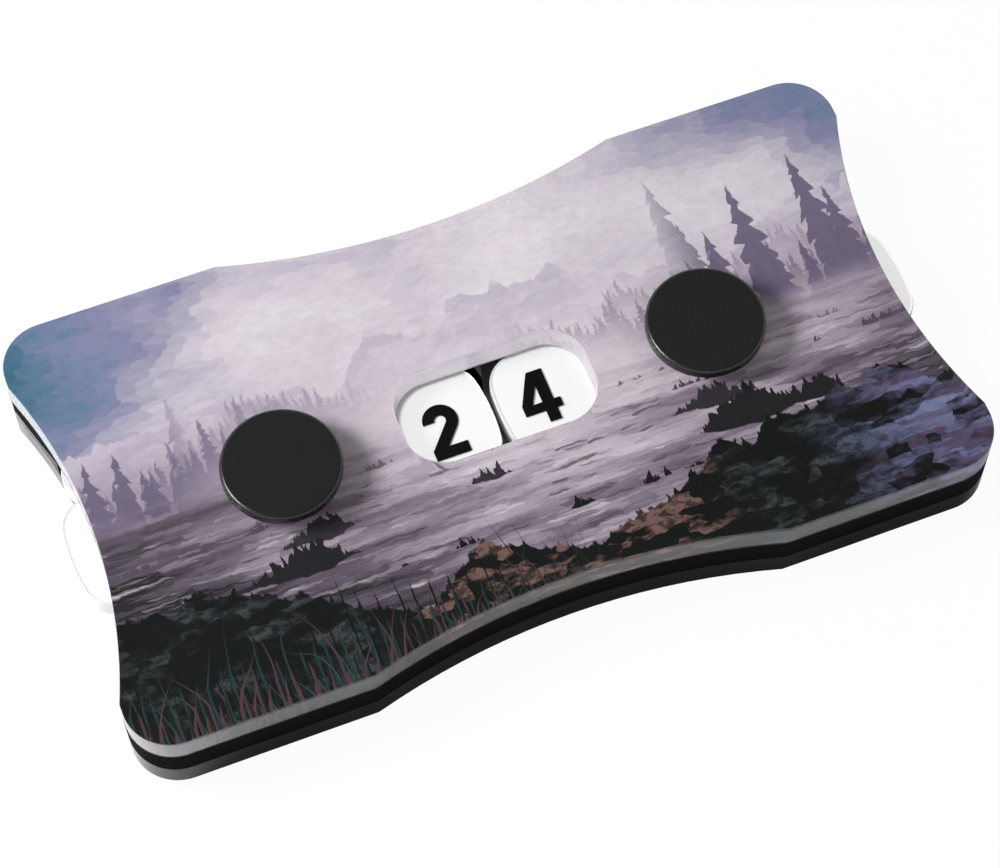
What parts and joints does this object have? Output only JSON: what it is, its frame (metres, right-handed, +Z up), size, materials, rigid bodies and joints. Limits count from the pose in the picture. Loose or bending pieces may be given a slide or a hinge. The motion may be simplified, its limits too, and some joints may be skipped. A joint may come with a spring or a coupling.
{
  "type": "life counter",
  "caption": "Flat life counter: stacked acrylic sheets with scooped sides hold two lobed number dials, read through one window and pushed by thumb at the short ends.",
  "frame": {"origin": "centre of the counter's footprint, on the surface that its two screw heads rest on", "axes": "+X along the length towards the units dial, +Y away from the reader of the upright numerals, +Z up out of the printed face"},
  "size_m": [0.088, 0.047, 0.0112],
  "materials": {
    "clear_acrylic": "polished clear acrylic",
    "print_ink": "printed ink under the clear sheet",
    "white_ink": "white backing ink",
    "black_acrylic": "laser-cut black acrylic",
    "back_acrylic": "polished dark acrylic",
    "white_acrylic": "smooth white acrylic",
    "black_ink": "printed black ink",
    "black_post": "matte black coating",
    "natural_nylon": "natural nylon",
    "black_rubber": "matte rubber"
  },
  "bodies": {
    "case": {"front_plate": "clear_acrylic", "print_layer": "print_ink", "print_backing": "white_ink", "rear_spacer": "black_acrylic", "front_spacer": "black_acrylic", "back_plate": "back_acrylic", "left_binding_post": "black_post", "left_post_screw": "black_post", "left_bushing": "natural_nylon", "left_glide_washer": "natural_nylon", "left_friction_ring": "black_rubber", "right_binding_post": "black_post", "right_post_screw": "black_post", "right_bushing": "natural_nylon", "right_glide_washer": "natural_nylon", "right_friction_ring": "black_rubber"},
    "tens_wheel": {"tens_dial": "white_acrylic", "tens_numerals": "black_ink"},
    "units_wheel": {"units_dial": "white_acrylic", "units_numerals": "black_ink"}
  },
  "joints": [
    {"name": "tens_spin", "type": "hinge", "parent": "case", "child": "tens_wheel", "pos_m": [-0.022, 0, 0.0056], "axis": [0, 0, 1], "continuous": true},
    {"name": "units_spin", "type": "hinge", "parent": "case", "child": "units_wheel", "pos_m": [0.022, 0, 0.0056], "axis": [0, 0, 1], "continuous": true}
  ]
}
